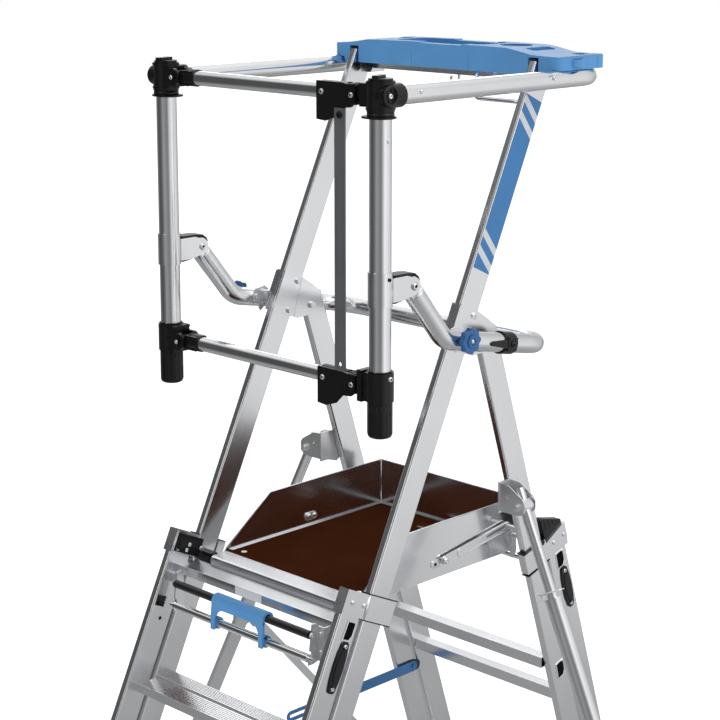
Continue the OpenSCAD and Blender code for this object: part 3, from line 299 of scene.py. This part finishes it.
NODE_MAT = {}
for names, mat in (
        ("uprights front_stiles hinge_plates", "alu_front"),
        ("rear_stiles rear_lower_stiles", "alu_rear"),
        ("upper_treads front_treads rear_crossbars rear_lower_crossbars platform_profile tray_bar", "alu_cross"),
        ("toe_boards", "alu_sheet"),
        ("front_guides rear_guides", "alu_cast"),
        ("guard_posts post_sleeves stab_tube_left stab_tube_right stab_leg_left stab_leg_right", "alu_tube_z"),
        ("top_bow knee_bow", "alu_tube_y"),
        ("gate_top_tube gate_low_tube", "alu_tube_x"),
        ("hinge_bolts rail_hooks stabiliser_brackets stay_pins platform_pins stay_links strut_left strut_right "
         "front_grip_brackets rear_grip_brackets", "zinc"),
        ("gate_drop_bar", "grey_bar"),
        ("front_release_rod rear_release_rod", "chrome"),
        ("upright_plugs platform_bearings bottom_fittings top_fittings sleeve_inserts rail_saddles front_liners "
         "front_covers rear_plugs rear_liners rear_covers gate_top_ends gate_low_ends", "black_plastic"),
        ("front_feet rear_feet", "black_rubber"),
        ("front_grip_rod rear_grip_rod", "black_rod"),
        ("tray front_handle", "blue_plastic"),
        ("knob_left knob_right", "blue_knob"),
        ("spreader_strap", "blue_strap"),
        ("deck_board", "brown_board")):
    for n in names.split():
        NODE_MAT[n] = mat
for name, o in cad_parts.items():
    o.data.materials.clear()
    o.data.materials.append(MATS[NODE_MAT[name]])

# ---------------------------------------------------------------- piece helpers
TO_X = Matrix.Rotation(math.radians(90), 4, "Y")
TO_NX = Matrix.Rotation(math.radians(-90), 4, "Y")
TO_NY = Matrix.Rotation(math.radians(90), 4, "X")
MIRROR = Matrix.Scale(-1, 4, (1, 0, 0))


def add_piece(name, bm, mat, body, matrix=M_DECK, flat=False):
    """Makes an object of the mesh, in the frame given by matrix, that rides on the body."""
    me = bpy.data.meshes.new(name)
    bm.normal_update()
    bm.to_mesh(me)
    bm.free()
    me.transform(matrix)
    if matrix.determinant() < 0:
        me.flip_normals()
    o = bpy.data.objects.new(name, me)
    bpy.context.scene.collection.objects.link(o)
    me.materials.append(MATS[mat])
    for f in me.polygons:
        f.use_smooth = not flat
    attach(o, body)
    return o


def sides(matrix=M_DECK):
    """The right side's frame and its mirror image."""
    return ("r", matrix), ("l", MIRROR @ matrix)


def add_pair(name, shape, mat, body, matrix=M_DECK, flat=False):
    """The same piece on the right and, mirrored, on the left; shape makes a new mesh each time."""
    for side, m in sides(matrix):
        add_piece(name + "_" + side, shape(), mat, body, m, flat)


def merge(*parts):
    """One mesh out of several."""
    bm = bmesh.new()
    for q in parts:
        me = bpy.data.meshes.new("part")
        q.to_mesh(me)
        q.free()
        bm.from_mesh(me)
        bpy.data.meshes.remove(me)
    return bm


def outline(bm, points, w, axes):
    """Vertices along a flat outline; axes names the outline's two axes and the axis of w."""
    ring = []
    for u, v in points:
        at = dict(zip(axes, (u, v, w)))
        ring.append(bm.verts.new((at["x"], at["y"], at["z"])))
    return ring


def walls_between(bm, loops):
    """Quads between each loop of vertices and the next."""
    for a, c in loops:
        for i in range(len(a)):
            j = (i + 1) % len(a)
            bm.faces.new((a[i], a[j], c[j], c[i]))


def prism(points, lo, hi, axes="yzx", bevel=0.0):
    """A plate with an outline."""
    bm = bmesh.new()
    low, high = outline(bm, points, lo, axes), outline(bm, points, hi, axes)
    bm.faces.new(low[::-1])
    bm.faces.new(high)
    walls_between(bm, [(low, high)])
    bmesh.ops.recalc_face_normals(bm, faces=bm.faces)
    if bevel:
        edges = [e for e in bm.edges if e.calc_face_angle(0) > 0.4]
        bmesh.ops.bevel(bm, geom=edges, offset=bevel, segments=2, affect="EDGES", profile=0.6)
    return bm


def rim(outer, inner, lo, hi, axes="yzx"):
    """A flat frame between two outlines with the same number of points."""
    bm = bmesh.new()
    loops = [outline(bm, points, w, axes) for points, w in ((outer, lo), (outer, hi), (inner, hi), (inner, lo))]
    walls_between(bm, zip(loops, loops[1:] + loops[:1]))
    bmesh.ops.recalc_face_normals(bm, faces=bm.faces)
    return bm


def oval(cu, cv, half, r, n=8):
    """Outline with round ends, long along its first axis."""
    angles = [math.pi * (i / n - 0.5) for i in range(n + 1)]
    right = [(cu + half + r * math.cos(a), cv + r * math.sin(a)) for a in angles]
    return right + [(2 * cu - u, 2 * cv - v) for u, v in right]


def lathe(profile, steps=28):
    """A solid of revolution about +Z from (radius, height) points."""
    bm = bmesh.new()
    rings = []
    for r, h in profile:
        if r < 1e-7:
            rings.append([bm.verts.new((0, 0, h))])
        else:
            rings.append([bm.verts.new((r * math.cos(a), r * math.sin(a), h))
                          for a in [2 * math.pi * i / steps for i in range(steps)]])
    for a, c in zip(rings, rings[1:]):
        for i in range(steps):
            j = (i + 1) % steps
            if len(a) == 1 and len(c) > 1:
                bm.faces.new((a[0], c[j], c[i]))
            elif len(c) == 1 and len(a) > 1:
                bm.faces.new((a[i], a[j], c[0]))
            elif len(a) > 1:
                bm.faces.new((a[i], a[j], c[j], c[i]))
    bmesh.ops.recalc_face_normals(bm, faces=bm.faces)
    return bm


def tube(points, r, steps=12, closed=False):
    """A round wire along points, with parallel-carried rings."""
    pts = [Vector(q) for q in points]
    bm = bmesh.new()
    n = len(pts)
    rings = []
    up = Vector((0, 0, 1))
    for i, q in enumerate(pts):
        d = (pts[(i + 1) % n] - pts[i - 1]) if closed else (pts[min(i + 1, n - 1)] - pts[max(i - 1, 0)])
        d.normalize()
        if abs(d.dot(up)) > 0.98:
            up = Vector((1, 0, 0)) if abs(d.x) < 0.9 else Vector((0, 1, 0))
        side = d.cross(up).normalized()
        up = side.cross(d).normalized()
        rings.append([bm.verts.new(q + side * (r * math.cos(a)) + up * (r * math.sin(a)))
                      for a in [2 * math.pi * k / steps for k in range(steps)]])
    walls_between(bm, list(zip(rings, rings[1:])) + ([(rings[-1], rings[0])] if closed else []))
    if not closed:
        bm.faces.new(rings[0][::-1])
        bm.faces.new(rings[-1])
    bmesh.ops.recalc_face_normals(bm, faces=bm.faces)
    return bm


def arc(centre, r, a0, a1, n, plane="xz"):
    """Points along a part circle from angle a0 to a1, in degrees, in the plane's two axes."""
    out = []
    for i in range(n + 1):
        a = math.radians(a0 + (a1 - a0) * i / n)
        c = list(centre)
        c["xyz".index(plane[0])] += r * math.cos(a)
        c["xyz".index(plane[1])] += r * math.sin(a)
        out.append(tuple(c))
    return out


def rivet_profile(r, h):
    return [(0, h), (r * 0.45, h * 0.97), (r * 0.8, h * 0.7), (r * 0.97, h * 0.3), (r, 0), (0, -0.0002)]


def screw_profile(r, h):
    """Button head with a round recess for the key."""
    return [(0, h * 0.35), (r * 0.42, h * 0.35), (r * 0.42, h), (r * 0.62, h * 0.99), (r * 0.9, h * 0.62),
            (r, h * 0.2), (r, 0), (0, -0.0002)]


def head(name, matrix, at, r, h, body, turn=TO_X, profile=screw_profile, steps=24):
    """A bright screw or rivet head of radius r and height h that points along turn's Z."""
    add_piece(name, lathe(profile(r, h), steps), "zinc", body, matrix @ Matrix.Translation(at) @ turn)


def rivet(name, matrix, at, r, h, body, turn=TO_X):
    head(name, matrix, at, r, h, body, turn, rivet_profile, 20)


def head_pair(name, matrix, at, r, h, body, turn=TO_X, kind=head):
    for side, m in sides(matrix):
        kind(name + "_" + side, m, at, r, h, body, turn)


# ---------------------------------------------------------------- label and sticker
OUT = 0.252  # outer face of the stiles


def clip(poly, a, b, c):
    """Keeps the side a*u + b*v <= c of a flat polygon."""
    res = []
    for i, q in enumerate(poly):
        p0, p1 = q, poly[(i + 1) % len(poly)]
        d0, d1 = a * p0[0] + b * p0[1] - c, a * p1[0] + b * p1[1] - c
        if d0 <= 0:
            res.append(p0)
        if d0 * d1 < 0:
            k = d0 / (d0 - d1)
            res.append((p0[0] + k * (p1[0] - p0[0]), p0[1] + k * (p1[1] - p0[1])))
    return res


def label(name, matrix, x, u0, u1, v0, v1, slope, stripes, body):
    """Blue foil with pale slanting stripes; the middle stays bare."""
    cuts = sorted(set([v0 - 1, v1 + 1] + [q for st in stripes for q in st]))
    for i, (a, c) in enumerate(zip(cuts, cuts[1:])):
        poly = [(u0, v0), (u1, v0), (u1, v1), (u0, v1)]
        poly = clip(poly, -slope, 1.0, c - slope * u0)
        poly = clip(poly, slope, -1.0, -(a - slope * u0))
        if len(poly) < 3:
            continue
        pale = any(abs(a - st[0]) < 1e-6 and abs(c - st[1]) < 1e-6 for st in stripes)
        add_piece("%s_%d" % (name, i), prism(poly, x, x + 0.00025), "stripe_label" if pale else "blue_label",
                  body, matrix, flat=True)


label("upright_label", M_FRONT, OUT + 0.00005, 0.003, 0.0524, 0.682, 1.035, -0.55,
      [(0.712, 0.727), (0.745, 0.760), (0.985, 1.000), (1.018, 1.033)], "front_frame")

# front face of the top tread
TREAD_Y = FY + (-0.035 - 0.0138 * SF) / CF
add_piece("tread_sticker", prism([(-0.060, -0.0320), (0.016, -0.0320), (0.016, -0.0150), (-0.060, -0.0150)],
                                 TREAD_Y - 0.00025, TREAD_Y - 0.00002, "xzy"),
          "white_sticker", "front_section", flat=True)

# ---------------------------------------------------------------- toe boards
# outer face, rear face and top edge of the boards, the level of their cut corner, and the bolts' level
BOARD, REAR_FACE, BOARD_TOP, CUT, BOLT_Z = 0.1935, 0.5063, 0.0985, 0.0525, 0.0205
HEM_X, HEM_Y, SEAM = BOARD - 0.001, REAR_FACE - 0.001, 0.0022
add_pair("toe_corner", lambda: prism([(0.4765, BOARD_TOP), (REAR_FACE, BOARD_TOP), (REAR_FACE, CUT)],
                                     BOARD - 0.002, BOARD), "alu_sheet", "platform", flat=True)
add_pair("toe_rear_corner",
         lambda: prism([(0.1880, 0.0520), (BOARD, 0.0520), (BOARD, BOARD_TOP), (0.1880, BOARD_TOP)],
                       REAR_FACE - 0.0021, REAR_FACE, "xzy"), "alu_sheet", "platform", flat=True)
add_pair("toe_hem", lambda: tube([(HEM_X, 0.0508, 0.0068), (HEM_X, 0.1737, 0.098), (HEM_X, 0.300, BOARD_TOP),
                                  (HEM_X, HEM_Y, BOARD_TOP)], 0.0014, 8), "alu_cross", "platform")
add_piece("toe_rear_hem", tube([(x, HEM_Y, BOARD_TOP) for x in (-HEM_X, 0, HEM_X)], 0.0014, 8), "alu_cross", "platform")
add_pair("toe_seam", lambda: tube([(BOARD - SEAM, REAR_FACE - SEAM, z) for z in (0.003, 0.05, BOARD_TOP)], 0.0010, 8),
         "alu_cross", "platform")
add_pair("bolt_plate", lambda: prism(oval(0.2885, BOLT_Z, 0.0085, 0.0085), 0.1897, 0.1915, bevel=0.0004),
         "zinc", "platform")
head_pair("toe_dome_front", M_DECK, (0.1866, 0.281, BOLT_Z), 0.0071, 0.0022, "platform", TO_NX, rivet)
head_pair("toe_dome_rear", M_DECK, (0.1897, 0.298, BOLT_Z), 0.0062, 0.0042, "platform", TO_NX, rivet)
head_pair("deck_rivet", M_DECK, (0.165, 0.075, 0.0), 0.0065, 0.0011, "platform", Matrix.Identity(4), rivet)

# ---------------------------------------------------------------- windows, covers and rivets on the stiles
WINDOW = [(-0.0100, 0.0168), (0.0108, 0.0168), (0.0114, -0.0070), (0.0050, -0.0172), (-0.0118, -0.0172)]


def window(name, matrix, x, cu, cv, body):
    """A bright rim on the face at x, round a flat black plate of painted shade that stands for the dark inside of the
    opening.
    """
    inner = [(cu + u, cv + v) for u, v in WINDOW]
    outer = [(cu + u * 1.24, cv + v * 1.15) for u, v in WINDOW]
    edge = [(x + 0.0003, u, v) for u, v in inner]
    # the opening's dark inside is painted shade: a thin near-black plate on the face
    add_pair(name + "_shade_plate", lambda: prism(inner, x, x + 0.0002), "hole_shade_black", body, matrix, True)
    add_pair(name + "_rim", lambda: merge(rim(outer, inner, x, x + 0.0007), tube(edge, 0.0012, 8, True)),
             "chrome", body, matrix, True)


window("front_window", M_FRONT, OUT, -0.028, -0.038, "front_section")
window("rear_window", M_REAR, OUT, 0.096, -0.072, "rear_section")
window("rear_low_window", M_REAR, OUT - 0.0003, 0.030, -0.309, "rear_frame")

COVER = [(0.0045, 0.0495), (0.0085, 0.0455), (0.0122, 0.0250), (0.0135, 0.0), (0.0122, -0.0250), (0.0085, -0.0455),
         (0.0045, -0.0495)]
COVER += [(-u, v) for u, v in reversed(COVER)]
PLATE, CENTRE = 0.0034, 0.62  # the plate's thickness, and the size of its raised centre


def cover(name, matrix, cu, cv, body):
    """An end cover with a raised centre and a screw at each end."""
    add_pair(name + "_plate", lambda: prism([(cu + u, cv + v) for u, v in COVER], OUT, OUT + PLATE, bevel=0.0007),
             "black_plastic", body, matrix, True)
    add_pair(name + "_centre", lambda: prism([(cu + CENTRE * u, cv + CENTRE * v) for u, v in COVER],
                                             OUT + 0.0030, OUT + 0.0048, bevel=0.0006),
             "black_plastic", body, matrix, True)
    for end, lift in (("top", 0.0400), ("foot", -0.0400)):
        head_pair("%s_screw_%s" % (name, end), matrix, (OUT + PLATE, cu, cv + lift), 0.0046, 0.0026, body)


cover("front_cover", M_FRONT, -0.0288, -0.1075, "front_section")
cover("rear_cover", M_REAR, 0.099, -0.1425, "rear_section")

for i, (u, v) in enumerate(((-0.024, 0.0121), (0.009, 0.0114), (-0.027, 0.0))):
    head_pair("liner_rivet_%d" % i, M_FRONT, (0.2295, u, v), 0.0044, 0.0014, "front_section", TO_NX, rivet)
add_pair("guide_bead", lambda: tube([(0.2536, -0.0036, z) for z in (-0.0108, 0.012, 0.0358)], 0.0042, 14),
         "alu_tube_z", "front_section", M_FRONT)

# ---------------------------------------------------------------- guard cage
POST, GATE_TOP, GATE_LOW, EAR = 0.2917, 0.9643, 0.4415, (0.0713, 0.6181)
CAP_X, CAP_Y = POST + 0.0280, -0.0036  # the round end of a top fitting
head_pair("ear_screw", M_DECK, (POST + 0.0170, *EAR), 0.0078, 0.0045, "front_frame")
head_pair("ear_nut", M_DECK, (POST - 0.0170, *EAR), 0.0072, 0.0042, "front_frame", TO_NX)
head_pair("post_screw", M_DECK, (POST + 0.0198, 0, 0.885), 0.0040, 0.0024, "front_frame")
head_pair("cup_screw", M_DECK, (POST + 0.0253, 0, 0.460), 0.0050, 0.0034, "front_frame")
head_pair("bow_end_screw", M_DECK, (POST + 0.0246, CAP_Y, GATE_TOP), 0.0060, 0.0048, "front_frame")
for body, z in (("gate_top", GATE_TOP), ("gate_low", GATE_LOW)):
    head(body + "_screw_left", M_DECK, (0.1635, -0.0188, z), 0.0055, 0.0034, body, TO_NY)
    head(body + "_screw_right", M_DECK, (0.2370, -0.0178, z - 0.002), 0.0055, 0.0034, body, TO_NY)
    head(body + "_pin_head", M_DECK, (-0.246, -0.0254, z), 0.0046, 0.0022, body, TO_NY)
head("bow_screw", M_DECK, (POST + 0.0177, 0.085, 0.966), 0.0040, 0.0024, "front_frame")
head("tray_screw", M_DECK, (POST + 0.0165, 0.455, 0.967), 0.0050, 0.0045, "front_frame")
add_piece("tray_screw_wing", prism(oval(0.457, 0.9745, 0.0065, 0.0028), POST + 0.0175, POST + 0.0200, bevel=0.0005),
          "zinc", "front_frame")

# rings, ribs, collars and flanges that give the moulded fittings their stepped outline
add_pair("bow_end_ring", lambda: tube(arc((CAP_X, CAP_Y, GATE_TOP), 0.0170, 0, 345, 23, "yz"), 0.0026, 10, True),
         "black_plastic", "front_frame")
add_pair("post_flange", lambda: prism(oval(POST - 0.004, 0.0, 0.0060, 0.0268, 12), 0.9240, 0.9275, "xyz", 0.0008),
         "black_plastic", "front_frame", flat=True)
add_pair("post_collar", lambda: lathe([(0.0202, 0.9250), (0.0240, 0.9250), (0.0246, 0.9300), (0.0240, 0.9370),
                                       (0.0202, 0.9370)], 40),
         "black_plastic", "front_frame", M_DECK @ Matrix.Translation((POST, 0, 0)))
for i in range(6):
    turn = math.radians(60 * i + 15)
    add_pair("bow_end_spoke_%d" % i,
             lambda: tube([(POST + 0.0268, CAP_Y + r * math.cos(turn), GATE_TOP + r * math.sin(turn))
                           for r in (0.0060, 0.0110, 0.0165)], 0.0012, 6), "black_plastic", "front_frame")
for side, m in sides():
    head("knob_screw_" + side, m, (0.3288, 0.2079, 0.4973), 0.0042, 0.0026, "knob_" + side)
CUP_R = 0.0223
add_pair("cup_ribs", lambda: merge(*[
    tube([(POST + CUP_R * math.cos(a), CUP_R * math.sin(a), z) for z in (0.356, 0.385, 0.414)], 0.0009, 6)
    for a in [math.radians(q) for q in range(10, 370, 24)]]), "black_plastic", "front_frame")

# tube ends at the ears of the knee bow
KNEE_A, KNEE_B = Vector((0.2935, 0.0713, 0.6181)), Vector((0.2935, 0.168, 0.5006))
knee = (KNEE_B - KNEE_A).normalized()
add_pair("knee_collar", lambda: tube([KNEE_A + knee * t for t in (0.0205, 0.0210, 0.040, 0.0630, 0.0635)],
                                     0.01925, 40), "alu_tube_y", "front_frame")

# bent rod under the tray's right end, and a small clip at its left end
ROD_AT = 0.4627
add_piece("tray_rod", tube([(x, ROD_AT, 0.915) for x in (0.2352, 0.200, 0.120)]
                           + arc((0.118, ROD_AT, 0.930), 0.015, 270, 190, 8)
                           + [(0.103, ROD_AT, 0.945), (0.103, 0.4740, 0.9665)], 0.0040, 14),
          "alu_tube_x", "front_frame")
add_piece("tray_clip", prism([(0.474, 0.9672), (0.496, 0.9672), (0.496, 0.952), (0.488, 0.946), (0.474, 0.957)],
                             -0.224, -0.212, bevel=0.0010), "black_plastic", "front_frame", flat=True)

# ---------------------------------------------------------------- strap and stay links
add_piece("strap_pad", prism(oval(0.6526, -0.440, 0.012, 0.013), -0.2346, -0.2313, bevel=0.0008),
          "black_rubber", "rear_frame")

# small plate with a hole beside the front bolt of each link
add_pair("stay_plate", lambda: prism(oval(0.2600, 0.0170, 0.0060, 0.0080), BOARD, BOARD + 0.0016, bevel=0.0004),
         "zinc", "platform")
# the hole is painted shade: a thin near-black plate laid on the stay plate
add_pair("stay_plate_hole_shade", lambda: prism(oval(0.2580, 0.0165, 0.0004, 0.0034), BOARD + 0.0015, BOARD + 0.0018),
         "hole_shade_black", "platform", flat=True)

# raised edge round the slotted part of each link
LINK = Vector((0.187, 0.0265))
link_matrix = M_DECK @ Matrix.Translation((0, 0.281, BOLT_Z)) @ Matrix.Rotation(math.atan2(LINK.y, LINK.x), 4, "X")
edge_outline = oval(LINK.length / 2 + 0.022, 0, LINK.length / 2 - 0.022, 0.0078)
add_pair("stay_edge", lambda: tube([(0.2010, u, v) for u, v in edge_outline], 0.0014, 8, True),
         "zinc", "stays", link_matrix)

# ---------------------------------------------------------------- squeeze handle
# axes of the release rod and of the fixed black bar, and the handle's two ends
ROD_Y, ROD_Z, BAR_Y, BAR_Z = -0.0859, -0.0795, -0.0821, -0.0348
H0, H1 = -0.070, 0.078
SHELL_IN, SHELL_OUT, SHELL_FOOT = 0.0092, 0.0139, -0.0430


def part_ring(cy, cz, r0, r1, a0, a1, n=14):
    """Outline of a part ring in y and z, angles from +Y."""
    angles = [math.radians(a0 + (a1 - a0) * i / n) for i in range(n + 1)]
    return ([(cy + r1 * math.cos(a), cz + r1 * math.sin(a)) for a in angles]
            + [(cy + r0 * math.cos(a), cz + r0 * math.sin(a)) for a in reversed(angles)])


def handle_front():
    """Arched front plate, leaning with the two rods."""
    arch = [(H1 - 0.0105, -0.0900), (H1 - 0.0115, -0.0700)]
    arch += [(H1 - 0.036 + 0.0245 * math.cos(math.radians(q)), -0.0680 + 0.0215 * math.sin(math.radians(q)))
             for q in range(10, 91, 16)]
    arch += [(H0 + H1 - x, z) for x, z in reversed(arch)]
    bm = prism([(H0, -0.0900), (H0 - 0.0005, -0.0480), (H0 + 0.004, -0.0370), (H1 - 0.004, -0.0370),
                (H1 + 0.0005, -0.0480), (H1, -0.0900)] + arch, -0.0960, -0.0916, "xzy")
    for v in bm.verts:
        v.co.y += 0.065 * (v.co.z - BAR_Z)
    return bm


cap = part_ring(BAR_Y, BAR_Z, SHELL_IN, SHELL_OUT, 0, 180)
shell = prism([(BAR_Y - SHELL_OUT, SHELL_FOOT)] + cap[14::-1] + cap[:14:-1] + [(BAR_Y - SHELL_IN, SHELL_FOOT)], H0, H1)
clips = [prism(part_ring(ROD_Y, ROD_Z, 0.0080, 0.0120, -125, 205), x, x + 0.011) for x in (H0, H1 - 0.011)]
cheeks = [prism([(-0.0960, -0.0400), (-0.0915, -0.0400), (-0.0912, -0.0620), (-0.0830, -0.0700), (-0.0980, -0.0740)],
                x, x + 0.0035) for x in (H0, H1 - 0.0035)]
wing = prism([(-0.0700, -0.0350), (-0.0640, -0.0360), (-0.0640, -0.0400), (-0.0728, -0.0400)], 0.052, H1)
handle = add_piece("squeeze_handle", merge(shell, handle_front(), wing, *clips, *cheeks), "blue_plastic",
                   "front_release", flat=True)
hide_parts("front_handle")

# ---------------------------------------------------------------- spring clips of the stabilisers
CLIP_ACROSS, CLIP_FRONT = Vector((0.711, 0.703, 0)), Vector((0.703, -0.711, 0))
# distances across and in front of the tube's axis
CLIP_WIRE = [(-0.0235, 0), (-0.0195, 0.0050), (-0.0140, 0.0165), (0, 0.0195), (0.0140, 0.0180), (0.0260, 0.0150)]
clip_path = [CLIP_ACROSS * a + CLIP_FRONT * f + Vector((0, 0, -0.176)) for a, f in CLIP_WIRE]
clip_loop = [CLIP_ACROSS * (-0.0265 + 0.0070 * math.cos(a)) + Vector((0, 0, -0.1790 + 0.0070 * math.sin(a)))
             for a in [math.radians(q) for q in range(0, 360, 30)]]
for side, m in sides(M_STAB):
    add_piece("clip_wire_" + side, tube(clip_path, 0.0012, 8), "chrome", "leg_" + side, m)
    add_piece("clip_loop_" + side, tube(clip_loop, 0.0012, 8, True), "chrome", "leg_" + side, m)

# ---------------------------------------------------------------- floor
fm = bpy.data.materials.new("floor")
fm.use_nodes = True
t = fm.node_tree
b = t.nodes["Principled BSDF"]
b.inputs["Base Color"].default_value = (0.86, 0.86, 0.86, 1)
b.inputs["Roughness"].default_value = 0.7
b.inputs["Emission Color"].default_value = (1, 1, 1, 1)
b.inputs["Emission Strength"].default_value = FLOOR_GLOW
# metal sees the floor near the ladder as mid grey, and farther out as the foot of the studio's walls
place = node(t, "ShaderNodeTexCoord")
far_stops = [(q, FLOOR_BACK.get(q, level)) for q, level in WALLS]
walls, split = studio_walls(t, place.outputs["Object"], far_stops)
reach = node(t, "ShaderNodeVectorMath", operation="LENGTH")
t.links.new(place.outputs["Object"], reach.inputs[0])
far = node(t, "ShaderNodeMapRange")
far.inputs["From Min"].default_value = 1.5
far.inputs["From Max"].default_value = 5.0
t.links.new(reach.outputs["Value"], far.inputs["Value"])
ground = node(t, "ShaderNodeEmission", Strength=1.0)
t.links.new(blend_colours(t, far.outputs[0], grey(t, FLOOR_NEAR), walls), ground.inputs["Color"])
path = node(t, "ShaderNodeLightPath")
out = t.nodes["Material Output"]
t.links.new(mix_shaders(t, path.outputs["Is Glossy Ray"], b.outputs[0], ground.outputs[0]), out.inputs["Surface"])
bpy.ops.mesh.primitive_plane_add(size=40, location=(0, 0, -0.0005))
floor = bpy.context.object
floor.name = "floor"
floor.data.materials.append(fm)
